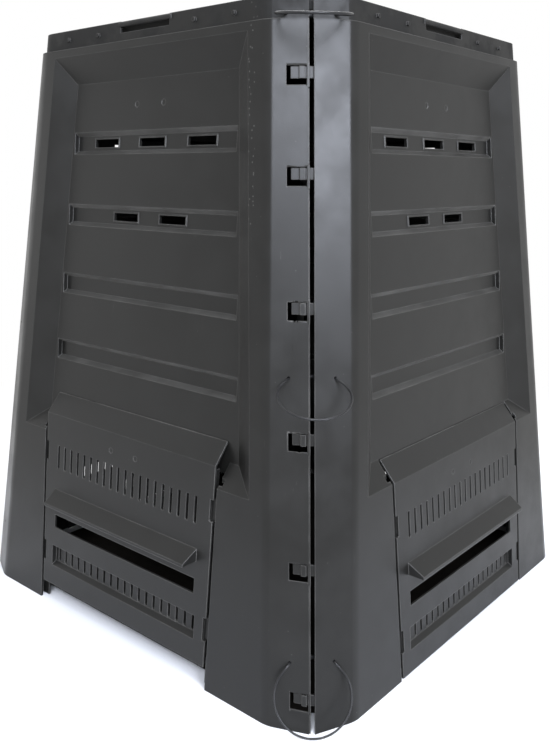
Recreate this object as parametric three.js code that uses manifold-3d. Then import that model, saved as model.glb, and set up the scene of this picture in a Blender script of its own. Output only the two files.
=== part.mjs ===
// A garden compost bin of moulded plastic: four alike leaning panels that hook together at the
// corners, a lift-up door in the foot of each, loop ties through the near seam, and a hinged lid.
// Millimetres, +Z up. The origin is on the ground under the middle of the bin; the front faces -Y.
import * as THREE from "three";
import { mergeVertices } from "three/addons/utils/BufferGeometryUtils.js";
import Module from "manifold-3d";

const wasm = await Module();
wasm.setup();

// Overall form, measured to the sharp lines that the outer faces would meet on
const bodyHeight = 970;
const collarHeight = 30;
const baseHalf = 435;
const topHalf = 335.5;
const cornerCutBase = 92;
const cornerCutTop = 78.5;
const seamBulgeBase = 17.6;
const seamBulgeTop = 5;
const foldRadius = 50;
const wall = 4;
const seamGap = 6.2;

// Clearances and the one overrun that every cut uses
const seatGap = 0.3;
const slideGap = 0.6;
const overrun = 5;
const embed = 0.5;

// Recessed field of a panel
const fieldDepth = 24.5;
const fieldHalfBase = 267;
const fieldHalfTop = 181;
const fieldTop = 915;
const fieldBottom = 353;
const recessTop = 958;
const recessBottom = 320;
const recessFlareBase = 42;
const recessFlareTop = 38;

// Pressed channels across the field
const channelCount = 4;
const channelTop = 837.5;
const channelPitch = 118.5;
const channelHeight = 36;
const channelDepth = 8.5;
const channelBevel = 5.5;
const channelLip = 6.5;
const channelEndGap = 3;

// Vents in the two upper channels, and the moulding marks above them
const ventLength = 60;
const ventHeight = 13;
const ventRim = 2;
const ventRimHeight = 1.6;
const ventPitch = 112;
const ventPlaceShares = [[-1, 0, 1], [-0.5, 0.5]];
const markRadius = 5;
const markDepth = 0.8;
const markSpread = 31;
const panelMarkHeight = 877;
const doorMarkHeight = 289;

// Doorway and the rails that the door tabs run in
const doorwayHalf = 217;
const railReach = 10.5;
const railWall = 3;
const railBottom = 3;
const railTop = 314;

// Corner windows and hooks
const hookHeightShares = [0.0447, 0.2371, 0.4244, 0.6081, 0.7917, 0.9261];
const strapWidth = 3.5;
const windowWidth = 27;
const windowHeight = 24.5;
const windowBevel = 6;
const windowBevelDepth = 2;
const rebateWidth = 2.5;
const rebateDepth = 2;
const hookHeight = 15.7;
const hookWidth = 7.5;
const hookWall = 3.5;
const hookTongue = 11;
const hookRoot = 9;
const hookBelowFace = 0.8;
const hookStrapGap = 2.5;
const hookBackGap = 0.8;
const hookTopGap = 0.8;

// Collar along the top edge, its hinge bar, nubs and lid ledge
const collarStep = 6;
const shoulder = 4;
const barHalf = 56;
const barRadius = 4.5;
const barSlotDepth = 7.7;
const nubPlaces = [110, 188];
const nubRadius = 3.4;
const nubReach = 3.5;
const ledgeWidth = 16;
const ledgeWall = 3;
const ledgeBelowTop = 17;

// Door
const doorSideGap = 6;
const doorBottomGap = 2;
const doorWall = 3.5;
const doorLift = 33;
const slotCount = 20;
const slotPitch = 18.4;
const slotWidth = 5.5;
const upperSlotBottom = 223;
const upperSlotTop = 265;
const lowerSlotBottom = 47;
const lowerSlotTop = 72;
const gripHalf = 181;
const gripBottom = 112;
const gripTop = 136;
const troughHalf = 186;
const troughBottom = 39;
const troughTop = 77;
const troughDepth = 9;
const troughBevel = 6;
const visorTop = 184;
const visorDrop = 17.5;
const visorReach = 25;
const visorLip = 5;
const visorHalf = 183;
const visorTaper = 4;
const visorFootDrop = 20;
const visorWall = 2.6;
const doorReturnInset = 10.5;
const doorReturnDepth = 18;
const doorReturnMargin = 10;
const doorRibDepth = 12;
const doorRibHeights = [18, 92, 202];
const notchDepth = 6;
const notchSpans = [[44, 81], [234, 268]];
const tabReach = 6;
const tabWall = 4.8;

// Loop ties
const tieHole = 2.4;
const tieFromSeam = 33;
const tieStraight = 7;
const tieHeadLength = 9;
const tieHeadWidth = 5;
const tieAboveBody = 7;
const lowerTieHeight = 99.5;
const lowerTieRadius = 56;
const lowerTieDroop = 62;
const middleTieHeight = 499.5;
const middleTieRadius = 51;
const middleTieDroop = 22;
const upperTieRadius = 50;
const upperTieDroop = 9;
const thinTie = 1.2;
const thickTie = 1.7;
const tieLoops = [
  { name: "lower", height: lowerTieHeight, radius: lowerTieRadius, droop: lowerTieDroop, thickness: thinTie },
  { name: "middle", height: middleTieHeight, radius: middleTieRadius, droop: middleTieDroop, thickness: thinTie },
  { name: "upper", height: bodyHeight + tieAboveBody, radius: upperTieRadius, droop: upperTieDroop,
    thickness: thickTie },
];
const tieArcShares = [0.66, 0.54, 0.42, 0.3, 0.18, 0.06, -0.06, -0.18, -0.3, -0.42, -0.54, -0.66];

// Lid
const lidEdgeGap = 6;
const lidWall = 3;
const lidEdgeHeight = 12.5;
const lidCrownRun = 90;
const lidCrownRise = 14;
const lidRibPitch = 130;
const lidRibRows = 3;
const lidRibDrop = 6;
const gripPocketHalf = 55;
const gripPocketWidth = 44;
const gripPocketDepth = 34;
const gripFromCentre = 180;
const gripBarRadius = 5;
const clipPlace = 34;
const clipWidth = 25;
const clipWall = 2.6;
const clipGap = 0.5;
const clipMouth = 100;
const clipTurnOver = 20;

// How finely curves are stepped
const foldSteps = 4;
const roundSides = 6;
const barSides = 12;
const clipSteps = 12;
const tieSides = 5;

const blackPlastic = { color: 0x3b3b3c, roughness: 0.5, metalness: 0 };
const tiePlastic = { color: 0x232325, roughness: 0.35, metalness: 0 };

// Heights along the leaning walls: each outline value runs straight from ground to body top
const atHeight = (low, high, z) => low + (high - low) * z / bodyHeight;
const faceHalf = (z) => atHeight(baseHalf, topHalf, z);
const cornerCut = (z) => atHeight(cornerCutBase, cornerCutTop, z);
const foldHalf = (z) => faceHalf(z) - cornerCut(z);
const seamHalf = (z) => faceHalf(z) - cornerCut(z) / 2 + atHeight(seamBulgeBase, seamBulgeTop, z);
const fieldHalf = (z) => atHeight(fieldHalfBase, fieldHalfTop, z);
const collarTop = bodyHeight + collarHeight;

// A geometry's triangles as a closed solid, whichever way they were wound
function solidOf(geometry) {
  for (const name of ["normal", "uv"]) geometry.deleteAttribute(name);
  const merged = mergeVertices(geometry);
  const places = merged.attributes.position;
  const index = merged.index.array;
  const [a, b, c] = [new THREE.Vector3(), new THREE.Vector3(), new THREE.Vector3()];
  const kept = [];
  let volume = 0;
  for (let i = 0; i < index.length; i += 3) {
    const [p, q, r] = [index[i], index[i + 1], index[i + 2]];
    if (p === q || q === r || r === p) continue;
    a.fromBufferAttribute(places, p);
    b.fromBufferAttribute(places, q);
    c.fromBufferAttribute(places, r);
    volume += a.dot(b.cross(c));
    kept.push([p, q, r]);
  }
  const triVerts = kept.flatMap(([p, q, r]) => (volume < 0 ? [p, r, q] : [p, q, r]));
  return new wasm.Manifold(new wasm.Mesh({
    numProp: 3,
    vertProperties: new Float32Array(places.array),
    triVerts: new Uint32Array(triVerts),
  }));
}

const join = (...solids) => solids.flat().reduce((sum, next) => sum.add(next));
const cut = (base, ...tools) => tools.flat().reduce((sum, next) => sum.subtract(next), base);

// A skin drawn between two rings of as many points, with flat ends
function bridge(flatRing, lowRing, highRing) {
  const count = flatRing.length;
  const caps = THREE.ShapeUtils.triangulateShape(flatRing, []);
  const index = [];
  for (let i = 0; i < count; i += 1) {
    const next = (i + 1) % count;
    index.push(i, next, next + count, i, next + count, i + count);
  }
  const clockwise = THREE.ShapeUtils.isClockWise(flatRing);
  for (const face of caps) {
    const [p, q, r] = clockwise ? [face[0], face[2], face[1]] : face;
    index.push(p, r, q, p + count, q + count, r + count);
  }
  const geometry = new THREE.BufferGeometry();
  const points = [...lowRing, ...highRing];
  geometry.setAttribute("position",
    new THREE.Float32BufferAttribute(points.flatMap((p) => [p.x, p.y, p.z]), 3));
  geometry.setIndex(index);
  return solidOf(geometry);
}

// A plan outline that changes with height, drawn from low to high
function riser(section, low, high) {
  const ring = (z) => section(z).map((p) => new THREE.Vector3(p.x, p.y, z));
  return bridge(section(low), ring(low), ring(high));
}

// An outline across and up the face that changes with depth, drawn from near to far
function presser(section, near, far) {
  const ring = (depth) => section(depth).map((p) => new THREE.Vector3(p.x, depth, p.y));
  return bridge(section(near), ring(near), ring(far));
}

// A side profile (depth, height) carried straight across the panel
function carried(points, half, middle = 0) {
  const shape = new THREE.Shape(points.map(([depth, z]) => new THREE.Vector2(depth, z)));
  const geometry = new THREE.ExtrudeGeometry(shape, { depth: half + half, bevelEnabled: false });
  geometry.applyMatrix4(new THREE.Matrix4().makeBasis(
    new THREE.Vector3(0, 1, 0), new THREE.Vector3(0, 0, 1), new THREE.Vector3(1, 0, 0)));
  return solidOf(geometry.translate(middle - half, 0, 0));
}

function block([left, right], [near, far], [low, high]) {
  const geometry = new THREE.BoxGeometry(right - left, far - near, high - low);
  return solidOf(geometry.translate((left + right) / 2, (near + far) / 2, (low + high) / 2));
}

// A round peg or bore between two points
function rod(from, to, radius, sides) {
  const run = to.clone().sub(from);
  const geometry = new THREE.CylinderGeometry(radius, radius, run.length(), sides);
  geometry.applyQuaternion(new THREE.Quaternion().setFromUnitVectors(
    new THREE.Vector3(0, 1, 0), run.clone().normalize()));
  const middle = from.clone().add(to).divideScalar(2);
  return solidOf(geometry.translate(middle.x, middle.y, middle.z));
}

// Spans for the right side, or the same mirrored to the left
const span = (side, from, to) => (side > 0 ? [from, to] : [-to, -from]);
const bothSides = [-1, 1];
const mirrored = (point) => new THREE.Vector2(-point.x, point.y);

// Panels and doors are shaped upright, as (across, depth behind the face, height), then leaned
const leanBack = new THREE.Matrix4().set(
  1, 0, 0, 0,
  0, 1, (baseHalf - topHalf) / bodyHeight, -baseHalf,
  0, 0, 1, 0,
  0, 0, 0, 1);

function meshFrom(solid, name, finish, placement) {
  const { vertProperties, triVerts } = solid.getMesh();
  const geometry = new THREE.BufferGeometry();
  geometry.setAttribute("position", new THREE.BufferAttribute(new Float32Array(vertProperties), 3));
  geometry.setIndex(new THREE.BufferAttribute(new Uint32Array(triVerts), 1));
  if (placement) geometry.applyMatrix4(placement);
  const mesh = new THREE.Mesh(geometry, new THREE.MeshStandardMaterial(finish));
  mesh.name = name;
  return mesh;
}

// Plan lines of the right-hand corner flange, which runs from the fold to the diagonal seam
function flangeLine(z) {
  const seam = new THREE.Vector2(seamHalf(z), faceHalf(z) - seamHalf(z));
  const run = new THREE.Vector2(foldHalf(z), 0).sub(seam).normalize();
  const out = new THREE.Vector2(-run.y, run.x);
  return { seam, run, out };
}

// A place on the flange: a distance from the mitred seam, and an inset below the outer face
function flangePoint(along, inset, z) {
  const { seam, run, out } = flangeLine(z);
  const start = seam.clone().addScaledVector(out, -inset);
  const toDiagonal = (faceHalf(z) - start.x - start.y) / (run.x + run.y);
  return start.addScaledVector(run, toDiagonal + along);
}

// The same place on the neighbouring panel's flange, seen in this panel's plan
function acrossSeam(point, z) {
  return new THREE.Vector2(faceHalf(z) - point.y, faceHalf(z) - point.x);
}

function foldCorner(inset, z) {
  const { seam, run, out } = flangeLine(z);
  const start = seam.clone().addScaledVector(out, -inset);
  return start.addScaledVector(run, (inset - start.y) / run.y);
}

// The rounded fold between face and flange, from the face side to the flange side
function foldArc(inset, z) {
  const { run } = flangeLine(z);
  const turn = Math.atan2(-run.y, -run.x);
  const radius = foldRadius - inset;
  const centre = foldCorner(inset, z);
  centre.add(new THREE.Vector2(-radius * Math.tan(turn / 2), radius));
  return Array.from({ length: foldSteps + 1 }, (_, step) => {
    const angle = turn * step / foldSteps;
    return centre.clone().add(
      new THREE.Vector2(Math.sin(angle), -Math.cos(angle)).multiplyScalar(radius));
  });
}

// A wall-thick band of the whole panel plan, seam to seam, between two insets
function bandSection(outer, inner, z) {
  const right = [...foldArc(outer, z), flangePoint(seamGap / 2, outer, z),
    flangePoint(seamGap / 2, inner, z), ...foldArc(inner, z).reverse()];
  return [...right, ...right.map(mirrored).reverse()];
}

// The recess: at each depth a trapezoid whose sides close in towards the field
function recessSection(depth, growth) {
  const share = depth / fieldDepth;
  const grown = (run) => growth * Math.hypot(1, run / fieldDepth);
  const low = recessBottom + (fieldBottom - recessBottom) * share
    - grown(fieldBottom - recessBottom);
  const high = recessTop + (fieldTop - recessTop) * share + grown(recessTop - fieldTop);
  const half = (z, flare) => fieldHalf(z) + flare * (1 - share) + grown(flare);
  const corners = [
    new THREE.Vector2(half(low, recessFlareBase), low),
    new THREE.Vector2(half(high, recessFlareTop), high),
  ];
  return [...corners, ...corners.map(mirrored).reverse()];
}

// Pressed channels: the same trapezoid groove, grown by the wall behind and cut in front
function channel(top, growth) {
  const low = top - channelHeight - growth;
  const high = top + growth;
  const deep = fieldDepth + channelDepth + growth;
  const near = fieldDepth - (growth > 0 ? 0 : overrun);
  const half = fieldHalf(top) - channelEndGap + growth;
  const profile = growth > 0
    ? [[near, low], [deep, low + channelBevel], [deep, high - channelLip], [near, high]]
    : [[near, low], [fieldDepth, low], [deep, low + channelBevel], [deep, high - channelLip],
      [fieldDepth, high], [near, high]];
  return carried(profile, half);
}

const channelTops = Array.from({ length: channelCount }, (_, row) => channelTop - row * channelPitch);

function vents() {
  const floor = fieldDepth + channelDepth;
  const rims = [];
  const holes = [];
  ventPlaceShares.forEach((places, row) => {
    const top = channelTops[row] - channelLip;
    const middle = (top + channelTops[row] - channelHeight + channelBevel) / 2;
    for (const share of places) {
      const spot = share * ventPitch;
      const frame = (grow) => [
        [spot - ventLength / 2 - grow, spot + ventLength / 2 + grow],
        [middle - ventHeight / 2 - grow, middle + ventHeight / 2 + grow]];
      const [rimAcross, rimUp] = frame(ventRim);
      const [across, up] = frame(0);
      rims.push(block(rimAcross, [floor - ventRimHeight, floor + embed], rimUp));
      holes.push(block(across, [floor - overrun, floor + wall + overrun], up));
    }
  });
  return { rims, holes };
}

const marks = (height, depth) => [-markSpread, markSpread].map((spot) => rod(
  new THREE.Vector3(spot, depth - overrun, height),
  new THREE.Vector3(spot, depth + markDepth, height), markRadius, roundSides));

// Windows in the right-hand flange, each with a strap left towards the seam
const hookHeights = hookHeightShares.map((share) => share * bodyHeight);
const strapEdge = seamGap / 2 + strapWidth;

function windowCuts(middle) {
  const patch = (nearInset, farInset, from, to) => (z) => [
    flangePoint(from, nearInset, z), flangePoint(to, nearInset, z),
    flangePoint(to, farInset, z), flangePoint(from, farInset, z)];
  const low = middle - windowHeight / 2;
  const high = middle + windowHeight / 2;
  const far = strapEdge + windowWidth;
  const slope = (edge, way) => (z) => {
    const depth = windowBevelDepth * (1 - way * (edge - z) / windowBevel);
    return patch(-overrun, depth, strapEdge, far)(z);
  };
  return [
    riser(patch(-overrun, wall + overrun, strapEdge, far), low, high),
    riser(slope(low, 1), low - windowBevel, low + embed),
    riser(slope(high, -1), high - embed, high + windowBevel),
  ];
}

function rebateCuts() {
  const section = (z) => [
    flangePoint(-overrun, -overrun, z), flangePoint(seamGap / 2 + rebateWidth, -overrun, z),
    flangePoint(seamGap / 2 + rebateWidth, rebateDepth, z), flangePoint(-overrun, rebateDepth, z)];
  const strapHalf = windowHeight / 2 + wall;
  const starts = [-overrun, ...hookHeights.map((height) => height + strapHalf)];
  const ends = [...hookHeights.map((height) => height - strapHalf), bodyHeight + overrun];
  return starts.map((start, row) => riser(section, start, ends[row]));
}

// A hook on the left-hand flange: behind the neighbour's strap, then out into its window, with a
// tongue along the back of the window
function hook(middle) {
  const behind = wall + hookBackGap;
  const tipNear = strapEdge + hookStrapGap;
  const tongueEnd = tipNear + hookWidth + hookTongue;
  const section = (z) => {
    const own = (along, inset) => flangePoint(along, inset, z);
    const other = (along, inset) => acrossSeam(flangePoint(along, inset, z), z);
    return [
      own(hookRoot, wall - embed), own(seamGap / 2 + embed, wall - embed),
      other(seamGap / 2 + hookBackGap, behind), other(tipNear, behind),
      other(tipNear, hookBelowFace), other(tipNear + hookWidth, hookBelowFace),
      other(tipNear + hookWidth, behind), other(tongueEnd, behind),
      other(tongueEnd, behind + hookWall), other(0, behind + hookWall),
      own(hookRoot, behind + hookWall),
    ].map(mirrored);
  };
  const high = middle + windowHeight / 2 - hookTopGap;
  return riser(section, high - hookHeight, high);
}

// Tie holes are square to the flange and lie the same distance from every seam, used or not
function tieHoleEnds(height, inset, reach) {
  const { out } = flangeLine(height);
  const spot = flangePoint(tieFromSeam, inset + wall / 2, height);
  return [-reach, reach].map((way) => {
    const end = spot.clone().addScaledVector(out, way);
    return new THREE.Vector3(end.x, end.y, height);
  });
}

const tieInset = (loop) => (loop.height > bodyHeight ? collarStep : 0);

function tieHoles() {
  return tieLoops.flatMap((loop) => {
    const [inside, outside] = tieHoleEnds(loop.height, tieInset(loop), wall + overrun);
    const flipped = [inside, outside].map((end) => end.clone().setX(-end.x));
    return [rod(inside, outside, tieHole, roundSides), rod(...flipped, tieHole, roundSides)];
  });
}

// Collar: a stepped band with an inner ledge, a bar over a slot at mid-side, and outer nubs
const barHeight = collarTop - barRadius;
const barDepth = collarStep + wall / 2;
const ledgeTop = collarTop - ledgeBelowTop;

function collar() {
  const inner = collarStep + wall;
  const band = riser((z) => bandSection(collarStep, inner, z), bodyHeight - shoulder, collarTop);
  const shelf = riser((z) => bandSection(wall / 2, inner, z), bodyHeight - shoulder, bodyHeight);
  const ledge = riser((z) => bandSection(inner - embed, inner + ledgeWidth, z),
    ledgeTop - ledgeWall, ledgeTop);
  const slot = block([-barHalf, barHalf], [0, inner + ledgeWidth + overrun],
    [barHeight - barRadius - barSlotDepth, collarTop + overrun]);
  const bar = rod(new THREE.Vector3(-barHalf - wall, barDepth, barHeight),
    new THREE.Vector3(barHalf + wall, barDepth, barHeight), barRadius, barSides);
  const nubs = nubPlaces.flatMap((place) => [-place, place]).map((place) => rod(
    new THREE.Vector3(place, collarStep - nubReach, bodyHeight + collarHeight / 2),
    new THREE.Vector3(place, collarStep + embed, bodyHeight + collarHeight / 2),
    nubRadius, roundSides));
  return join(cut(join(band, ledge), slot), shelf, bar, nubs);
}

// Guide rail behind one jamb, an L that leaves the tab its channel
const tabNear = wall + slideGap;
const railNear = tabNear + tabWall + slideGap;
const railWeb = doorwayHalf + tabReach + slideGap + slideGap;

function rails() {
  return bothSides.flatMap((side) => [
    block(span(side, railWeb, railWeb + railWall), [wall - embed, railNear + railWall],
      [railBottom, railTop]),
    block(span(side, doorwayHalf - railReach, railWeb + railWall), [railNear, railNear + railWall],
      [railBottom, railTop]),
  ]);
}

// Doorway, open to the ground, with a way through the slope above each rail for the door's tabs
function doorwayCuts() {
  const tabWays = bothSides.map((side) => block(span(side, doorwayHalf - embed, railWeb),
    [wall - embed, railNear], [railTop, fieldBottom]));
  return [
    block([-doorwayHalf, doorwayHalf], [-overrun, fieldDepth], [-overrun, fieldBottom + embed]),
    ...tabWays,
  ];
}

function panelSolid() {
  const skin = riser((z) => bandSection(0, wall, z), 0, bodyHeight);
  const pan = presser((depth) => recessSection(depth, wall), wall / 2, fieldDepth + wall);
  const hollow = presser((depth) => recessSection(depth, 0), -overrun, fieldDepth);
  const apron = block([-doorwayHalf - wall, doorwayHalf + wall], [fieldDepth, fieldDepth + wall],
    [fieldBottom - channelHeight / 2, fieldBottom + overrun]);
  const { rims, holes } = vents();
  const flange = cut(skin, rebateCuts(), hookHeights.flatMap(windowCuts));
  const pressed = cut(join(flange, pan, channelTops.map((top) => channel(top, wall))), hollow,
    channelTops.map((top) => channel(top, 0)));
  const opened = cut(pressed, doorwayCuts());
  const whole = join(opened, apron, rims, rails(), collar(), hookHeights.map(hook));
  return cut(whole, holes, tieHoles(), marks(panelMarkHeight, fieldDepth));
}

// Door
const doorHalf = doorwayHalf - doorSideGap;
const slotPlaces = Array.from({ length: slotCount },
  (_, column) => (column - (slotCount - 1) / 2) * slotPitch);
const hoodReach = fieldDepth - slideGap;

function slots(low, high) {
  return slotPlaces.map((spot) => block([spot - slotWidth / 2, spot + slotWidth / 2],
    [-overrun, troughDepth + doorWall + overrun], [low, high]));
}

// Plate and hood in one side profile
function doorShell() {
  const rise = (fieldBottom - recessBottom) / fieldDepth;
  const drop = doorWall * Math.hypot(1, rise);
  const hood = (depth) => recessBottom + depth * rise;
  return carried([
    [0, doorBottomGap], [0, recessBottom], [hoodReach, hood(hoodReach)],
    [hoodReach, hood(hoodReach) - drop], [doorWall, hood(doorWall) - drop],
    [doorWall, doorBottomGap]], doorHalf);
}

// The grip visor is hollow below, with closed ends and a small lip
function visor() {
  const section = (inset) => (depth) => {
    const share = -depth / visorReach;
    const half = visorHalf - visorTaper * share - inset;
    const top = visorTop - visorDrop * share - inset;
    const foot = visorTop - visorFootDrop
      - (visorDrop + visorLip - visorFootDrop) * share - (inset > 0 ? overrun : 0);
    return [new THREE.Vector2(half, foot), new THREE.Vector2(half, top),
      new THREE.Vector2(-half, top), new THREE.Vector2(-half, foot)];
  };
  const outer = presser(section(0), -visorReach, embed);
  const inner = presser(section(visorWall), visorWall - visorReach, 0);
  return cut(outer, inner);
}

function trough(growth) {
  const near = growth > 0 ? 0 : -overrun;
  const deep = troughDepth + growth;
  const low = troughBottom - growth;
  const high = troughTop + growth;
  const foot = growth > 0 ? [[0, low]] : [[near, low], [0, low]];
  return carried([...foot, [deep, low + troughBevel], [deep, high], [near, high]],
    troughHalf + growth);
}

// Side returns, cross ribs and the four tabs that hold the door behind the jambs
function doorBack() {
  const edge = doorHalf - doorReturnInset;
  const sides = bothSides.flatMap((side) => {
    const rim = block(span(side, edge, edge + railWall), [doorWall - embed, doorReturnDepth],
      [doorReturnMargin + doorBottomGap, recessBottom - doorReturnMargin]);
    const tabs = notchSpans.map((height) => block(
      span(side, edge + embed, doorwayHalf + tabReach), [tabNear, tabNear + tabWall], height));
    return [rim, ...tabs];
  });
  const ribs = doorRibHeights.map((height) => block([-edge, edge],
    [doorWall - embed, doorRibDepth], [height, height + railWall]));
  return [...sides, ...ribs];
}

function doorSolid() {
  const notches = notchSpans.flatMap((height) => bothSides.map((side) => block(
    span(side, doorHalf - notchDepth, doorHalf + overrun), [-overrun, doorWall], height)));
  const grip = block([-gripHalf, gripHalf], [-overrun, doorWall + overrun], [gripBottom, gripTop]);
  const shell = cut(join(doorShell(), trough(doorWall)), trough(0), notches, grip);
  return cut(join(shell, visor(), doorBack()), slots(upperSlotBottom, upperSlotTop),
    slots(lowerSlotBottom, lowerSlotTop), marks(doorMarkHeight, 0));
}

// A smooth line that is stepped at its own points
class WirePath extends THREE.CatmullRomCurve3 {
  getPointAt(share, target) {
    return this.getPoint(share, target);
  }

  getTangentAt(share, target) {
    return this.getTangent(share, target);
  }
}

// Tie: a loop through both holes of a corner, closed by a small head inside the seam. It is drawn
// with x across the seam and y out along the diagonal, and is the same on both sides of it.
function tieSolid(loop) {
  const height = loop.height + loop.thickness + seatGap - tieHole;
  const inset = tieInset(loop);
  const turned = (p) => {
    const y = p.y - faceHalf(loop.height);
    return new THREE.Vector2((p.x + y) / Math.SQRT2, (p.x - y) / Math.SQRT2);
  };
  const [near, far] = tieHoleEnds(loop.height, inset, tieStraight).map(turned);
  const hole = near.clone().add(far).divideScalar(2);
  const reach = Math.sqrt(loop.radius ** 2 - hole.x ** 2);
  const droop = THREE.MathUtils.degToRad(loop.droop);
  const arc = tieArcShares.map((share) => {
    const out = reach + loop.radius * Math.cos(share * Math.PI);
    return new THREE.Vector3(-loop.radius * Math.sin(share * Math.PI),
      hole.y + out * Math.cos(droop), height - out * Math.sin(droop));
  });
  const start = [
    new THREE.Vector3(-tieHeadLength / 4, near.y - tieHeadWidth, height),
    new THREE.Vector3(near.x, near.y, height), new THREE.Vector3(far.x, far.y, height)];
  const end = start.map((p) => new THREE.Vector3(-p.x, p.y, p.z)).reverse();
  const path = new WirePath([...start, ...arc, ...end], false, "centripetal");
  const ring = Array.from({ length: tieSides }, (_, side) => {
    const angle = side * 2 * Math.PI / tieSides;
    return new THREE.Vector2(Math.cos(angle), Math.sin(angle)).multiplyScalar(loop.thickness);
  });
  const wire = solidOf(new THREE.ExtrudeGeometry(new THREE.Shape(ring),
    { steps: path.points.length - 1, bevelEnabled: false, extrudePath: path }));
  const head = block([-tieHeadLength / 2, tieHeadLength / 2],
    [near.y - tieHeadWidth * 1.5, near.y - tieHeadWidth / 2],
    [height - tieHeadWidth / 2, height + tieHeadWidth / 2]);
  return join(wire, head);
}

// Lid: an eight-cornered tray turned over, resting on the collar's ledge
const lidSeat = ledgeTop + seatGap;
const lidRim = lidSeat + lidEdgeHeight;
const lidTop = lidRim + lidCrownRise;
const lidInset = collarStep + wall + lidEdgeGap;
const barPlace = faceHalf(barHeight) - barDepth;

function lidRing(inset, z) {
  const side = [mirrored(foldCorner(inset, lidRim)), foldCorner(inset, lidRim),
    flangePoint(0, inset, lidRim)];
  const up = new THREE.Vector3(0, 0, 1);
  return [0, 1, 2, 3].flatMap((turn) => side.map((p) => (
    new THREE.Vector3(p.x, p.y - faceHalf(lidRim), z).applyAxisAngle(up, turn * Math.PI / 2))));
}

function lidStage([lowInset, low], [highInset, high]) {
  const ring = lidRing(lowInset, low);
  return bridge(ring.map((p) => new THREE.Vector2(p.x, p.y)), ring, lidRing(highInset, high));
}

// Two clips on the rear edge, each an open ring that turns about the rear panel's bar
function hingeClip(place) {
  const inner = barRadius + clipGap;
  const outer = inner + clipWall;
  const from = THREE.MathUtils.degToRad(180 + clipTurnOver);
  const sweep = THREE.MathUtils.degToRad(360 - clipMouth);
  const arc = (radius) => Array.from({ length: clipSteps + 1 }, (_, step) => {
    const angle = from - sweep * step / clipSteps;
    return [barPlace + radius * Math.cos(angle), barHeight + radius * Math.sin(angle)];
  });
  const ring = carried([...arc(outer), ...arc(inner).reverse()], clipWidth / 2, place);
  const edge = faceHalf(lidRim) - lidInset;
  const arm = block([place - clipWidth / 2, place + clipWidth / 2],
    [edge - lidWall, barPlace - inner - embed], [barHeight - clipWall, barHeight + clipWall]);
  return join(ring, arm);
}

function lidSolid() {
  const crownInset = lidInset + lidCrownRun;
  const outer = join(lidStage([lidInset, lidSeat], [lidInset, lidRim]),
    lidStage([lidInset, lidRim], [crownInset, lidTop]));
  const inner = join(
    lidStage([lidInset + lidWall, lidSeat - overrun], [lidInset + lidWall, lidRim - lidWall]),
    lidStage([lidInset + lidWall, lidRim - lidWall], [crownInset, lidTop - lidWall]));
  const places = Array.from({ length: lidRibRows },
    (_, row) => (row - (lidRibRows - 1) / 2) * lidRibPitch);
  const ribs = places.flatMap((place) => {
    const thick = [place - lidWall / 2, place + lidWall / 2];
    const high = [lidSeat + lidRibDrop / 2, lidTop];
    return [block([-topHalf, topHalf], thick, high), block(thick, [-topHalf, topHalf], high)];
  });
  const gripSpan = (grow) => [-gripFromCentre - gripPocketWidth / 2 - grow,
    -gripFromCentre + gripPocketWidth / 2 + grow];
  const pocketHalf = gripPocketHalf + lidWall;
  const floor = lidTop - gripPocketDepth;
  const pocket = block([-pocketHalf, pocketHalf], gripSpan(lidWall), [floor - lidWall, lidTop]);
  const hollow = block([-gripPocketHalf, gripPocketHalf], gripSpan(0), [floor, lidTop + overrun]);
  const bar = rod(new THREE.Vector3(-gripPocketHalf - embed, -gripFromCentre, lidTop - gripBarRadius),
    new THREE.Vector3(gripPocketHalf + embed, -gripFromCentre, lidTop - gripBarRadius),
    gripBarRadius, barSides);
  const tray = join(cut(outer, inner), outer.intersect(join(ribs)), pocket);
  return join(cut(tray, hollow), bar, hingeClip(-clipPlace), hingeClip(clipPlace));
}

// The four sides stand a quarter turn apart, and the near corner holds the three ties
const bin = new THREE.Group();
const panel = panelSolid();
const door = doorSolid();
["front", "right", "back", "left"].forEach((side, turn) => {
  const quarter = new THREE.Group();
  quarter.rotation.z = turn * Math.PI / 2;
  const doorMesh = meshFrom(door, `door_${side}`, blackPlastic, leanBack);
  if (side === "front") {
    doorMesh.position.set(0, doorLift * (baseHalf - topHalf) / bodyHeight, doorLift);
  }
  quarter.add(meshFrom(panel, `panel_${side}`, blackPlastic, leanBack), doorMesh);
  bin.add(quarter);
});
for (const loop of tieLoops) {
  const tie = meshFrom(tieSolid(loop), `tie_${loop.name}`, tiePlastic);
  tie.rotation.z = -0.75 * Math.PI;
  bin.add(tie);
}
bin.add(meshFrom(lidSolid(), "lid", blackPlastic));

export default bin;
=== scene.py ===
import math
import bpy
from mathutils import Matrix, Vector

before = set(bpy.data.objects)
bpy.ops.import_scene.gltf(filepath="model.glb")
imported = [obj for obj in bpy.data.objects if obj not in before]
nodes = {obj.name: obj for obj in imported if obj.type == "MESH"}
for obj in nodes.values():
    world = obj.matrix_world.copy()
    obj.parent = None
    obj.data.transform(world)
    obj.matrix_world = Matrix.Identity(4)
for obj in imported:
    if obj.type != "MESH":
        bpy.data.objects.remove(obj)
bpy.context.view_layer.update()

bpy.context.scene.view_settings.view_transform = "Standard"
sides = ("front", "right", "back", "left")

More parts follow.
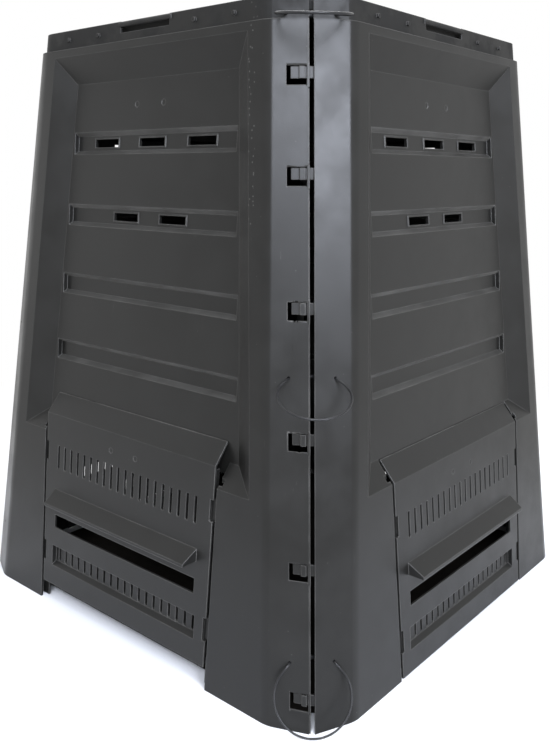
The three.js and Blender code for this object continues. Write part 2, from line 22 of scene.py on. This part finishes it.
# The photograph's viewpoint: just under the rim, a little right of the near corner, looking down
# a little. The picture is 550 by 743, so the lens is held to the upright side.
camera_place = Vector((1.002, -1.1932, 0.77))
camera_turn = math.radians(40.4385)
camera_dip = math.radians(13.7217)
camera_roll = math.radians(0.3642)
camera_data = bpy.data.cameras.new("photo_camera")
camera_data.sensor_fit = "VERTICAL"
camera_data.sensor_height = 36.0
camera_data.lens = 39.0324
camera_data.clip_start = 0.05
camera_data.clip_end = 60.0
camera = bpy.data.objects.new("photo_camera", camera_data)
bpy.context.scene.collection.objects.link(camera)
ahead = Vector((-math.sin(camera_turn) * math.cos(camera_dip),
                math.cos(camera_turn) * math.cos(camera_dip), -math.sin(camera_dip)))
level = Vector((math.cos(camera_turn), math.sin(camera_turn), 0.0))
upright = level.cross(ahead)
across = level * math.cos(camera_roll) + upright * math.sin(camera_roll)
upward = upright * math.cos(camera_roll) - level * math.sin(camera_roll)
camera.matrix_world = Matrix((
    (across.x, upward.x, -ahead.x, camera_place.x),
    (across.y, upward.y, -ahead.y, camera_place.y),
    (across.z, upward.z, -ahead.z, camera_place.z),
    (0.0, 0.0, 0.0, 1.0)))
bpy.context.scene.camera = camera

# Side panels: charcoal polypropylene out of one mould, with the mould's fine spark-eroded grain,
# slow waves where the wide walls cooled, and a few pale scuffs and specks from handling.
grain_size = 0.0011
weld_reach = 0.00002
crisp_angle = math.radians(18.0)
shine = 0.31
window_middles = (0.0434, 0.23, 0.4117, 0.5899, 0.7679, 0.8983)
window_reach = 0.0145
# The collar band at the top is made darker and rougher in mottled patches
collar_low = 0.966
collar_full = 0.974
collar_rough_gain = 0.30
collar_darkening = 0.55
# arris_width is how far the painted edge highlight and the rounded shading reach from each edge
arris_width = 0.0022
panel_black = (0.0080, 0.0078, 0.0070, 1.0)
# The pale colour serves the real scuffs and specks, and the painted highlights on edges and lips
pale_scuff_and_highlight = (0.105, 0.102, 0.094, 1.0)


def new_group(name, inputs, outputs):
    group = bpy.data.node_groups.new(name, "ShaderNodeTree")
    for title, kind, value in inputs:
        socket = group.interface.new_socket(title, in_out="INPUT", socket_type=kind)
        socket.default_value = value
    for title, kind in outputs:
        group.interface.new_socket(title, in_out="OUTPUT", socket_type=kind)
    entry = group.nodes.new("NodeGroupInput")
    leave = group.nodes.new("NodeGroupOutput")
    return group, entry, leave


def add(tree, kind, **settings):
    node = tree.nodes.new(kind)
    for key, value in settings.items():
        setattr(node, key, value)
    return node


def arith(tree, operation, first, second=None, third=None):
    node = add(tree, "ShaderNodeMath", operation=operation)
    for place, value in enumerate((first, second, third)):
        if value is None:
            continue
        if isinstance(value, (int, float)):
            node.inputs[place].default_value = value
        else:
            tree.links.new(value, node.inputs[place])
    return node.outputs[0]


def noise(tree, where, scale, detail=2.0, roughness=0.5):
    node = add(tree, "ShaderNodeTexNoise")
    tree.links.new(where, node.inputs["Vector"])
    node.inputs["Scale"].default_value = scale
    node.inputs["Detail"].default_value = detail
    node.inputs["Roughness"].default_value = roughness
    return node.outputs["Fac"]


def remap(tree, value, low, high, to_low=0.0, to_high=1.0):
    node = add(tree, "ShaderNodeMapRange", interpolation_type="SMOOTHSTEP")
    tree.links.new(value, node.inputs["Value"])
    node.inputs["From Min"].default_value = low
    node.inputs["From Max"].default_value = high
    node.inputs["To Min"].default_value = to_low
    node.inputs["To Max"].default_value = to_high
    return node.outputs["Result"]


# Mould grain: a tight pebble height, with the slow waves of a wide wall laid under it
moulded_grain, entry, leave = new_group("moulded_grain", [
    ("Place", "NodeSocketVector", (0.0, 0.0, 0.0)),
    ("Grain Scale", "NodeSocketFloat", 900.0),
    ("Grain Amount", "NodeSocketFloat", 0.3),
    ("Wave Amount", "NodeSocketFloat", 1.0),
], [("Height", "NodeSocketFloat"), ("Patchiness", "NodeSocketFloat")])
pebble = add(moulded_grain, "ShaderNodeTexNoise")
pebble.inputs["Detail"].default_value = 1.5
moulded_grain.links.new(entry.outputs["Place"], pebble.inputs["Vector"])
moulded_grain.links.new(entry.outputs["Grain Scale"], pebble.inputs["Scale"])
wave = noise(moulded_grain, entry.outputs["Place"], 5.5, 1.0, 0.4)
patch = noise(moulded_grain, entry.outputs["Place"], 14.0, 4.0, 0.62)
grain_height = arith(moulded_grain, "MULTIPLY", pebble.outputs["Fac"],
                     entry.outputs["Grain Amount"])
wave_height = arith(moulded_grain, "MULTIPLY", wave, entry.outputs["Wave Amount"])
whole_height = arith(moulded_grain, "ADD", grain_height, wave_height)
moulded_grain.links.new(whole_height, leave.inputs["Height"])
moulded_grain.links.new(patch, leave.inputs["Patchiness"])

# Scuffs and specks: short drawn-out rubs and tiny pale grains, gathered where a slow mask allows,
# and a column of specks up the front panel beside its fold
column_foot = 0.3156
column_lean = 0.0923
column_half = 0.006
column_low = 0.70
column_front = -0.3
scuffs, entry, leave = new_group("scuffs_and_specks", [
    ("Place", "NodeSocketVector", (0.0, 0.0, 0.0)),
    ("Rub Amount", "NodeSocketFloat", 0.5),
    ("Speck Amount", "NodeSocketFloat", 0.5),
], [("Mask", "NodeSocketFloat")])
drawn = add(scuffs, "ShaderNodeMapping")
drawn.inputs["Rotation"].default_value = (0.35, 0.2, 0.5)
drawn.inputs["Scale"].default_value = (1.0, 1.0, 0.16)
scuffs.links.new(entry.outputs["Place"], drawn.inputs["Vector"])
rub_lines = remap(scuffs, noise(scuffs, drawn.outputs["Vector"], 150.0, 4.0, 0.7), 0.64, 0.80)
rub_field = remap(scuffs, noise(scuffs, entry.outputs["Place"], 7.0, 3.0, 0.6), 0.54, 0.74)
rubs = arith(scuffs, "MULTIPLY", rub_lines, rub_field)
rubs = arith(scuffs, "MULTIPLY", rubs, entry.outputs["Rub Amount"])
speck_cells = add(scuffs, "ShaderNodeTexVoronoi", feature="F1")
speck_cells.inputs["Scale"].default_value = 120.0
scuffs.links.new(entry.outputs["Place"], speck_cells.inputs["Vector"])
speck_dots = remap(scuffs, speck_cells.outputs["Distance"], 0.10, 0.05)
speck_pick = add(scuffs, "ShaderNodeSeparateColor")
scuffs.links.new(speck_cells.outputs["Color"], speck_pick.inputs["Color"])
speck_rare = remap(scuffs, speck_pick.outputs["Red"], 0.90, 0.94)
spot = add(scuffs, "ShaderNodeSeparateXYZ")
scuffs.links.new(entry.outputs["Place"], spot.inputs[0])
column_line = arith(scuffs, "MULTIPLY_ADD", spot.outputs["Z"], -column_lean, column_foot)
column_off = arith(scuffs, "ABSOLUTE", arith(scuffs, "SUBTRACT", spot.outputs["X"], column_line))
column = arith(scuffs, "MULTIPLY", arith(scuffs, "LESS_THAN", column_off, column_half),
               arith(scuffs, "LESS_THAN", spot.outputs["Y"], column_front))
high_enough = arith(scuffs, "GREATER_THAN", spot.outputs["Z"], column_low)
column = arith(scuffs, "MULTIPLY", column, high_enough)
upright_place = add(scuffs, "ShaderNodeCombineXYZ")
scuffs.links.new(spot.outputs["X"], upright_place.inputs[0])
scuffs.links.new(spot.outputs["Z"], upright_place.inputs[1])
column_cells = add(scuffs, "ShaderNodeTexVoronoi", feature="F1", voronoi_dimensions="2D")
column_cells.inputs["Scale"].default_value = 100.0
scuffs.links.new(upright_place.outputs[0], column_cells.inputs["Vector"])
column_dots = remap(scuffs, column_cells.outputs["Distance"], 0.13, 0.07)
column = arith(scuffs, "MULTIPLY", column, column_dots)
specks = arith(scuffs, "MAXIMUM", arith(scuffs, "MULTIPLY", speck_dots, speck_rare), column)
specks = arith(scuffs, "MULTIPLY", specks, entry.outputs["Speck Amount"])
both = arith(scuffs, "MAXIMUM", rubs, specks)
scuffs.links.new(both, leave.inputs["Mask"])

# Edge highlight: a painted highlight that makes the arrises paler than the walls between them, and
# a shading normal rounded over each edge
edge_rounding_and_highlight, entry, leave = new_group("edge_rounding_and_highlight", [
    ("Width", "NodeSocketFloat", 0.002),
    ("Amount", "NodeSocketFloat", 0.5),
    ("Breakup", "NodeSocketFloat", 0.5),
], [("Mask", "NodeSocketFloat"), ("Normal", "NodeSocketVector")])
rounded = add(edge_rounding_and_highlight, "ShaderNodeBevel", samples=6)
edge_rounding_and_highlight.links.new(entry.outputs["Width"], rounded.inputs["Radius"])
true_shape = add(edge_rounding_and_highlight, "ShaderNodeNewGeometry")
alike = add(edge_rounding_and_highlight, "ShaderNodeVectorMath", operation="DOT_PRODUCT")
edge_rounding_and_highlight.links.new(rounded.outputs["Normal"], alike.inputs[0])
edge_rounding_and_highlight.links.new(true_shape.outputs["Normal"], alike.inputs[1])
turned = remap(edge_rounding_and_highlight, alike.outputs["Value"], 0.995, 0.90)
broken = arith(edge_rounding_and_highlight, "MULTIPLY", turned, entry.outputs["Breakup"])
edge_rounding_and_highlight.links.new(arith(edge_rounding_and_highlight, "MULTIPLY", broken, entry.outputs["Amount"]),
                      leave.inputs["Mask"])
edge_rounding_and_highlight.links.new(rounded.outputs["Normal"], leave.inputs["Normal"])

# Lip highlight: the steep lips of the pressed channels are painted paler between two heights, the
# downward-facing ones most, as a painted highlight
painted_lip_highlight, entry, leave = new_group("painted_lip_highlight", [
    ("Place", "NodeSocketVector", (0.0, 0.0, 0.0)),
    ("Facing", "NodeSocketVector", (0.0, 0.0, 1.0)),
    ("Lowest", "NodeSocketFloat", 0.44),
    ("Highest", "NodeSocketFloat", 0.85),
    ("Amount", "NodeSocketFloat", 1.0),
], [("Mask", "NodeSocketFloat")])
facing = add(painted_lip_highlight, "ShaderNodeSeparateXYZ")
height = add(painted_lip_highlight, "ShaderNodeSeparateXYZ")
painted_lip_highlight.links.new(entry.outputs["Facing"], facing.inputs[0])
painted_lip_highlight.links.new(entry.outputs["Place"], height.inputs[0])
steep = remap(painted_lip_highlight, arith(painted_lip_highlight, "ABSOLUTE", facing.outputs["Z"]), 0.45, 0.6)
under = remap(painted_lip_highlight, facing.outputs["Z"], 0.3, -0.3, 0.45, 1.0)
steep = arith(painted_lip_highlight, "MULTIPLY", steep, under)
above = arith(painted_lip_highlight, "GREATER_THAN", height.outputs["Z"], entry.outputs["Lowest"])
below = arith(painted_lip_highlight, "LESS_THAN", height.outputs["Z"], entry.outputs["Highest"])
lip_highlight = arith(painted_lip_highlight, "MULTIPLY", arith(painted_lip_highlight, "MULTIPLY", steep, above), below)
lip_noise = noise(painted_lip_highlight, entry.outputs["Place"], 22.0, 3.0, 0.6)
uneven = remap(painted_lip_highlight, lip_noise, 0.3, 0.7, 0.7, 1.1)
lip_highlight = arith(painted_lip_highlight, "MULTIPLY", arith(painted_lip_highlight, "MULTIPLY", lip_highlight, uneven),
             entry.outputs["Amount"])
painted_lip_highlight.links.new(lip_highlight, leave.inputs["Mask"])

# Even flanges: a corner flange winds a little from foot to collar. The solids hold that as a crease
# with thin steps, and this evens it in the shading alone: between the windows the flange shares one
# facing, and beside them the skin that already turns that way does. Fold and Seam are its two edges
# at the ground, each with its lean, along the flange from the corner's middle plane.
even_flanges, entry, leave = new_group("even_flanges", [
    ("Normal", "NodeSocketVector", (0.0, 0.0, 1.0)),
    ("Facing", "NodeSocketVector", (0.0, 0.0, 1.0)),
    ("Place", "NodeSocketVector", (0.0, 0.0, 0.0)),
    ("Turn", "NodeSocketFloat", 0.63),
    ("Rise", "NodeSocketFloat", 0.14),
    ("Fold", "NodeSocketFloat", 0.0335),
    ("Fold Lean", "NodeSocketFloat", 0.0044),
    ("Seam", "NodeSocketFloat", 0.0833),
    ("Seam Lean", "NodeSocketFloat", 0.0236),
], [("Normal", "NodeSocketVector"), ("Flat", "NodeSocketFloat")])
spot = add(even_flanges, "ShaderNodeSeparateXYZ")
even_flanges.links.new(entry.outputs["Place"], spot.inputs[0])
run_x = arith(even_flanges, "ABSOLUTE", spot.outputs["X"])
run_y = arith(even_flanges, "ABSOLUTE", spot.outputs["Y"])
wide = arith(even_flanges, "COSINE", entry.outputs["Turn"])
narrow = arith(even_flanges, "SINE", entry.outputs["Turn"])
mostly_x = arith(even_flanges, "GREATER_THAN", run_x, run_y)
swing = arith(even_flanges, "MULTIPLY", mostly_x, arith(even_flanges, "SUBTRACT", wide, narrow))
even_x = arith(even_flanges, "MULTIPLY", arith(even_flanges, "ADD", narrow, swing),
               arith(even_flanges, "SIGN", spot.outputs["X"]))
even_y = arith(even_flanges, "MULTIPLY", arith(even_flanges, "SUBTRACT", wide, swing),
               arith(even_flanges, "SIGN", spot.outputs["Y"]))
even_facing = add(even_flanges, "ShaderNodeCombineXYZ")
even_flanges.links.new(even_x, even_facing.inputs[0])
even_flanges.links.new(even_y, even_facing.inputs[1])
even_flanges.links.new(entry.outputs["Rise"], even_facing.inputs[2])
to_world = add(even_flanges, "ShaderNodeVectorTransform", vector_type="NORMAL",
               convert_from="OBJECT", convert_to="WORLD")
even_flanges.links.new(even_facing.outputs[0], to_world.inputs[0])
alike = add(even_flanges, "ShaderNodeVectorMath", operation="DOT_PRODUCT")
even_flanges.links.new(entry.outputs["Normal"], alike.inputs[0])
even_flanges.links.new(to_world.outputs[0], alike.inputs[1])
beside = remap(even_flanges, alike.outputs["Value"], 0.945, 0.974)
outside = add(even_flanges, "ShaderNodeVectorMath", operation="DOT_PRODUCT")
even_flanges.links.new(entry.outputs["Facing"], outside.inputs[0])
even_flanges.links.new(to_world.outputs[0], outside.inputs[1])
along = arith(even_flanges, "SUBTRACT",
              arith(even_flanges, "MULTIPLY", arith(even_flanges, "MINIMUM", run_x, run_y), wide),
              arith(even_flanges, "MULTIPLY", arith(even_flanges, "MAXIMUM", run_x, run_y), narrow))
fold_edge = arith(even_flanges, "SUBTRACT", entry.outputs["Fold"],
                  arith(even_flanges, "MULTIPLY", spot.outputs["Z"], entry.outputs["Fold Lean"]))
seam_edge = arith(even_flanges, "SUBTRACT", entry.outputs["Seam"],
                  arith(even_flanges, "MULTIPLY", spot.outputs["Z"], entry.outputs["Seam Lean"]))
between = arith(even_flanges, "MULTIPLY", arith(even_flanges, "GREATER_THAN", along, fold_edge),
                arith(even_flanges, "LESS_THAN", along, seam_edge))
between = arith(even_flanges, "MULTIPLY", between,
                arith(even_flanges, "GREATER_THAN", outside.outputs["Value"], 0.2))
for window_middle in window_middles:
    away = arith(even_flanges, "ABSOLUTE",
                 arith(even_flanges, "SUBTRACT", spot.outputs["Z"], window_middle))
    between = arith(even_flanges, "MULTIPLY", between,
                    arith(even_flanges, "GREATER_THAN", away, window_reach))
flat = arith(even_flanges, "MAXIMUM", beside, between)
choice = add(even_flanges, "ShaderNodeMix", data_type="VECTOR")
even_flanges.links.new(flat, choice.inputs["Factor"])
even_flanges.links.new(entry.outputs["Normal"], choice.inputs[4])
even_flanges.links.new(to_world.outputs[0], choice.inputs[5])
unit = add(even_flanges, "ShaderNodeVectorMath", operation="NORMALIZE")
even_flanges.links.new(choice.outputs[1], unit.inputs[0])
even_flanges.links.new(unit.outputs[0], leave.inputs["Normal"])
even_flanges.links.new(between, leave.inputs["Flat"])


def moulded_plastic(name, black, pale, grain_scale, grain_amount, wave_amount, rub_amount,
                    speck_amount, smooth, rough, edge_highlight_amount, lip_highlight_amount=0.0):
    """One run of black plastic: the mould's grain, patchy gloss, scuffs, and a painted highlight
    along the arrises.
    """
    material = bpy.data.materials.new(name)
    material.use_nodes = True
    tree = material.node_tree
    shader = tree.nodes["Principled BSDF"]
    place = add(tree, "ShaderNodeTexCoord").outputs["Object"]
    grain = add(tree, "ShaderNodeGroup", node_tree=moulded_grain)
    tree.links.new(place, grain.inputs["Place"])
    grain.inputs["Grain Scale"].default_value = grain_scale
    grain.inputs["Grain Amount"].default_value = grain_amount
    grain.inputs["Wave Amount"].default_value = wave_amount
    marks = add(tree, "ShaderNodeGroup", node_tree=scuffs)
    tree.links.new(place, marks.inputs["Place"])
    marks.inputs["Rub Amount"].default_value = rub_amount
    marks.inputs["Speck Amount"].default_value = speck_amount
    edges = add(tree, "ShaderNodeGroup", node_tree=edge_rounding_and_highlight)
    edges.inputs["Width"].default_value = arris_width
    edges.inputs["Amount"].default_value = edge_highlight_amount
    tree.links.new(grain.outputs["Patchiness"], edges.inputs["Breakup"])
    # Painted highlight along the arrises, later joined by the painted highlight on the channel lips
    edge_and_lip_highlight = edges.outputs["Mask"]
    rounded_normal = edges.outputs["Normal"]
    gloss = remap(tree, grain.outputs["Patchiness"], 0.25, 0.75, smooth, rough)
    tone = remap(tree, grain.outputs["Patchiness"], 0.3, 0.7, 0.88, 1.14)
    if lip_highlight_amount:
        height = add(tree, "ShaderNodeSeparateXYZ")
        tree.links.new(place, height.inputs[0])
        # The collar band is made darker and rougher in mottled patches
        collar = remap(tree, height.outputs["Z"], collar_low, collar_full)
        mottle = remap(tree, grain.outputs["Patchiness"], 0.4, 0.6, 0.5, 1.0)
        collar_dark_mask = arith(tree, "MULTIPLY", collar, mottle)
        gloss = arith(tree, "MULTIPLY_ADD", collar_dark_mask, collar_rough_gain, gloss)
        tone = arith(tree, "MULTIPLY_ADD", collar_dark_mask, -collar_darkening, tone)
        true_facing = add(tree, "ShaderNodeNewGeometry").outputs["True Normal"]
        own_facing = add(tree, "ShaderNodeVectorTransform", vector_type="NORMAL",
                         convert_from="WORLD", convert_to="OBJECT")
        tree.links.new(true_facing, own_facing.inputs[0])
        # Painted highlight on the steep lips of the channels
        lip_highlight = add(tree, "ShaderNodeGroup", node_tree=painted_lip_highlight)
        tree.links.new(place, lip_highlight.inputs["Place"])
        tree.links.new(own_facing.outputs[0], lip_highlight.inputs["Facing"])
        lip_highlight.inputs["Amount"].default_value = lip_highlight_amount
        flanges = add(tree, "ShaderNodeGroup", node_tree=even_flanges)
        tree.links.new(rounded_normal, flanges.inputs["Normal"])
        tree.links.new(true_facing, flanges.inputs["Facing"])
        tree.links.new(place, flanges.inputs["Place"])
        rounded_normal = flanges.outputs["Normal"]
        arris = arith(tree, "SUBTRACT", 1.0, flanges.outputs["Flat"])
        edge_and_lip_highlight = arith(tree, "MULTIPLY", edge_and_lip_highlight, arris)
        edge_and_lip_highlight = arith(tree, "MAXIMUM", edge_and_lip_highlight, lip_highlight.outputs["Mask"])
    # Real scuffs and specks together with the painted highlights, all mixed toward the pale colour
    scuffs_and_highlight = arith(tree, "MAXIMUM", marks.outputs["Mask"], edge_and_lip_highlight)
    tint = add(tree, "ShaderNodeMix", data_type="RGBA")
    tint.inputs["A"].default_value = black
    tint.inputs["B"].default_value = pale
    tree.links.new(scuffs_and_highlight, tint.inputs["Factor"])
    patchy = add(tree, "ShaderNodeHueSaturation")
    tree.links.new(tint.outputs["Result"], patchy.inputs["Color"])
    tree.links.new(tone, patchy.inputs["Value"])
    tree.links.new(patchy.outputs["Color"], shader.inputs["Base Color"])
    tree.links.new(arith(tree, "MULTIPLY_ADD", scuffs_and_highlight, 0.12, gloss), shader.inputs["Roughness"])
    bump = add(tree, "ShaderNodeBump")
    bump.inputs["Strength"].default_value = 0.35
    bump.inputs["Distance"].default_value = 0.001
    tree.links.new(grain.outputs["Height"], bump.inputs["Height"])
    tree.links.new(rounded_normal, bump.inputs["Normal"])
    tree.links.new(bump.outputs["Normal"], shader.inputs["Normal"])
    shader.inputs["IOR"].default_value = 1.49
    shader.inputs["Specular IOR Level"].default_value = shine
    return material


# Crisp arrises: the skin is closed, and only edges that turn further than a bend are kept sharp
crisp_arrises = bpy.data.node_groups.new("crisp_arrises", "GeometryNodeTree")
crisp_arrises.is_modifier = True
crisp_arrises.interface.new_socket("Geometry", in_out="INPUT", socket_type="NodeSocketGeometry")
crisp_arrises.interface.new_socket("Geometry", in_out="OUTPUT", socket_type="NodeSocketGeometry")
entry = crisp_arrises.nodes.new("NodeGroupInput")
leave = crisp_arrises.nodes.new("NodeGroupOutput")
closed = add(crisp_arrises, "GeometryNodeMergeByDistance")
closed.inputs["Distance"].default_value = weld_reach
smooth = add(crisp_arrises, "GeometryNodeSetShadeSmooth", domain="FACE")
crisp = add(crisp_arrises, "GeometryNodeSetShadeSmooth", domain="EDGE")
crisp.inputs["Shade Smooth"].default_value = False
turn = add(crisp_arrises, "GeometryNodeInputMeshEdgeAngle")
sharp = add(crisp_arrises, "FunctionNodeCompare", data_type="FLOAT", operation="GREATER_THAN")
sharp.inputs[1].default_value = crisp_angle
crisp_arrises.links.new(entry.outputs[0], closed.inputs["Geometry"])
crisp_arrises.links.new(closed.outputs["Geometry"], smooth.inputs["Geometry"])
crisp_arrises.links.new(smooth.outputs["Geometry"], crisp.inputs["Geometry"])
crisp_arrises.links.new(turn.outputs["Unsigned Angle"], sharp.inputs[0])
crisp_arrises.links.new(sharp.outputs["Result"], crisp.inputs["Selection"])
crisp_arrises.links.new(crisp.outputs["Geometry"], leave.inputs[0])


def close_skin(piece):
    """One closed skin: flats stay flat, moulded bends run smooth, and arrises stay crisp."""
    skin = piece.modifiers.new("crisp_arrises", "NODES")
    skin.node_group = crisp_arrises
    even = piece.modifiers.new("even_shading", "WEIGHTED_NORMAL")
    even.keep_sharp = True
    even.weight = 50


panel_plastic = moulded_plastic("panel_plastic", panel_black, pale_scuff_and_highlight, 1 / grain_size, 0.25,
                                0.8, 0.5, 0.55, 0.32, 0.44, 1.1, 0.7)
for side in sides:
    panel = nodes["panel_" + side]
    panel.data.materials.clear()
    panel.data.materials.append(panel_plastic)
    close_skin(panel)

# Lift-up doors: thinner plates out of the same black plastic, ribbed behind, with a hollow visor
# for the fingers. They slide behind the doorway's jambs, so their faces are rubbed a little more.
door_black = (0.0098, 0.0096, 0.0088, 1.0)
door_plastic = moulded_plastic("door_plastic", door_black, pale_scuff_and_highlight, 1 / grain_size, 0.25,
                               1.2, 0.6, 0.5, 0.34, 0.48, 1.3)
for side in sides:
    door = nodes["door_" + side]
    door.data.materials.clear()
    door.data.materials.append(door_plastic)
    close_skin(door)

# Lid: a crowned tray of the same plastic that lies inside the collar, hinged on the rear bar. Its
# mould is blasted coarser than the panels', so the top stays dull under a low sun.
lid_plastic = moulded_plastic("lid_plastic", panel_black, pale_scuff_and_highlight, 1 / grain_size, 0.3,
                              0.8, 0.8, 0.8, 0.66, 0.76, 0.3)
lid = nodes["lid"]
lid.data.materials.clear()
lid.data.materials.append(lid_plastic)
close_skin(lid)

# Corner ties: smooth black nylon, drawn thin, threaded through two holes and locked inside
tie_black = (0.012, 0.012, 0.0125, 1.0)
tie_extra = 0.0006
tie_grain = 1500.0
tie_nylon = moulded_plastic("tie_nylon", tie_black, pale_scuff_and_highlight, tie_grain, 0.08, 0.1, 0.2, 0.2,
                            0.26, 0.36, 0.1)
for name, tie in nodes.items():
    if name.startswith("tie_"):
        tie.data.materials.clear()
        tie.data.materials.append(tie_nylon)
        close = tie.modifiers.new("closed_skin", "WELD")
        close.merge_threshold = weld_reach
        finer = tie.modifiers.new("drawn_round", "SUBSURF")
        finer.levels = 2
        finer.render_levels = 2
        full = tie.modifiers.new("full_gauge", "DISPLACE")
        full.strength = tie_extra
        full.mid_level = 0.0
        tie.data.shade_smooth()

# Studio: a pale floor that holds the shadow, a tall soft light near the camera that runs down the
# near corner, a broad one over each visible side, and an even white room.
floor_tone = (0.86, 0.86, 0.865, 1.0)
floor_half = 12.0
shade_reach = 0.7
open_reach = 1.7
floor_mesh = bpy.data.meshes.new("studio_floor")
floor_mesh.from_pydata([(-floor_half, -floor_half, 0.0), (floor_half, -floor_half, 0.0),
                        (floor_half, floor_half, 0.0), (-floor_half, floor_half, 0.0)],
                       [], [(0, 1, 2, 3)])
floor = bpy.data.objects.new("studio_floor", floor_mesh)
bpy.context.scene.collection.objects.link(floor)
floor_paper = bpy.data.materials.new("floor_paper")
floor_paper.use_nodes = True
tree = floor_paper.node_tree
paper = tree.nodes["Principled BSDF"]
paper.inputs["Base Color"].default_value = floor_tone
paper.inputs["Roughness"].default_value = 0.9
paper.inputs["Specular IOR Level"].default_value = 0.1
glow = add(tree, "ShaderNodeEmission")
glow.inputs["Strength"].default_value = 1.0
path = add(tree, "ShaderNodeLightPath")
looked = arith(tree, "MAXIMUM", path.outputs["Is Camera Ray"], path.outputs["Is Transmission Ray"])
looked = arith(tree, "MAXIMUM", looked, path.outputs["Is Glossy Ray"])
far_off = add(tree, "ShaderNodeVectorMath", operation="LENGTH")
tree.links.new(add(tree, "ShaderNodeTexCoord").outputs["Object"], far_off.inputs[0])
open_floor = remap(tree, far_off.outputs["Value"], shade_reach, open_reach)
either = add(tree, "ShaderNodeMixShader")
tree.links.new(arith(tree, "MULTIPLY", looked, open_floor), either.inputs[0])
tree.links.new(paper.outputs[0], either.inputs[1])
tree.links.new(glow.outputs[0], either.inputs[2])
tree.links.new(either.outputs[0], tree.nodes["Material Output"].inputs["Surface"])
floor_mesh.materials.append(floor_paper)

# Dark sheet under the bin, inside its walls: painted shade, so that the slots look into shade and
# not onto paper
shade_sheet_half = 0.40
shade_sheet_corner = 0.35
shade_sheet_height = 0.003
rim = [(shade_sheet_half, shade_sheet_corner), (shade_sheet_corner, shade_sheet_half), (-shade_sheet_corner, shade_sheet_half),
       (-shade_sheet_half, shade_sheet_corner), (-shade_sheet_half, -shade_sheet_corner), (-shade_sheet_corner, -shade_sheet_half),
       (shade_sheet_corner, -shade_sheet_half), (shade_sheet_half, -shade_sheet_corner)]
shade_sheet_mesh = bpy.data.meshes.new("painted_shade_sheet")
shade_sheet_mesh.from_pydata([(x, y, shade_sheet_height) for x, y in rim], [], [tuple(range(len(rim)))])
shade_sheet = bpy.data.objects.new("painted_shade_sheet", shade_sheet_mesh)
bpy.context.scene.collection.objects.link(shade_sheet)
# The sheet's mottled dark colour is painted shade
painted_shade_tone = bpy.data.materials.new("painted_shade_tone")
painted_shade_tone.use_nodes = True
tree = painted_shade_tone.node_tree
shade_sheet_shader = tree.nodes["Principled BSDF"]
shade_mottle = noise(tree, add(tree, "ShaderNodeTexCoord").outputs["Object"], 60.0, 4.0, 0.6)
shade_sheet_ramp = add(tree, "ShaderNodeMix", data_type="RGBA")
shade_sheet_ramp.inputs["A"].default_value = (0.008, 0.007, 0.006, 1.0)
shade_sheet_ramp.inputs["B"].default_value = (0.022, 0.018, 0.014, 1.0)
tree.links.new(shade_mottle, shade_sheet_ramp.inputs["Factor"])
tree.links.new(shade_sheet_ramp.outputs["Result"], shade_sheet_shader.inputs["Base Color"])
shade_sheet_shader.inputs["Roughness"].default_value = 0.95
shade_sheet_shader.inputs["Specular IOR Level"].default_value = 0.1
shade_sheet_mesh.materials.append(painted_shade_tone)

world = bpy.data.worlds.new("white_room")
bpy.context.scene.world = world
world.use_nodes = True
tree = world.node_tree
room = tree.nodes["Background"]
out = tree.nodes["World Output"]
room.inputs["Color"].default_value = (1.0, 1.0, 1.0, 1.0)
room.inputs["Strength"].default_value = 0.25
seen = add(tree, "ShaderNodeBackground")
seen.inputs["Color"].default_value = (1.0, 1.0, 1.0, 1.0)
seen.inputs["Strength"].default_value = 1.0
path = add(tree, "ShaderNodeLightPath")
looked = arith(tree, "MAXIMUM", path.outputs["Is Camera Ray"], path.outputs["Is Transmission Ray"])
looked = arith(tree, "MAXIMUM", looked, path.outputs["Is Glossy Ray"])
either = add(tree, "ShaderNodeMixShader")
tree.links.new(looked, either.inputs[0])
tree.links.new(room.outputs[0], either.inputs[1])
tree.links.new(seen.outputs[0], either.inputs[2])
tree.links.new(either.outputs[0], out.inputs["Surface"])


def soft_light(name, place, aim, width, height, watts, tint=(1.0, 1.0, 1.0)):
    light = bpy.data.lights.new(name, "AREA")
    light.shape = "RECTANGLE"
    light.size = width
    light.size_y = height
    light.energy = watts
    light.color = tint
    holder = bpy.data.objects.new(name, light)
    holder.visible_camera = False
    bpy.context.scene.collection.objects.link(holder)
    holder.location = place
    holder.rotation_euler = (Vector(aim) - Vector(place)).to_track_quat("-Z", "Y").to_euler()


sky_tint = (0.83, 0.88, 1.0)
soft_light("corner_left_light", (1.9, -2.6, 2.3), (0.3, -0.3, 0.85), 1.3, 1.1, 112.0, sky_tint)
soft_light("corner_right_light", (2.9, -1.4, 1.85), (0.3, -0.3, 0.85), 1.3, 1.1, 140.0, sky_tint)
soft_light("left_light", (-3.3, -1.3, 0.9), (0.0, -0.3, 0.6), 1.2, 1.4, 4.0)
soft_light("right_light", (3.4, 0.4, 1.0), (0.3, 0.2, 0.4), 1.6, 1.4, 4.0, (1.0, 0.985, 0.96))
soft_light("rear_light", (-2.4, 2.6, 2.6), (0.0, 0.0, 0.5), 2.2, 2.2, 100.0)
soft_light("top_light", (0.0, 0.0, 3.4), (0.0, 0.0, 1.0), 2.4, 2.4, 75.0)
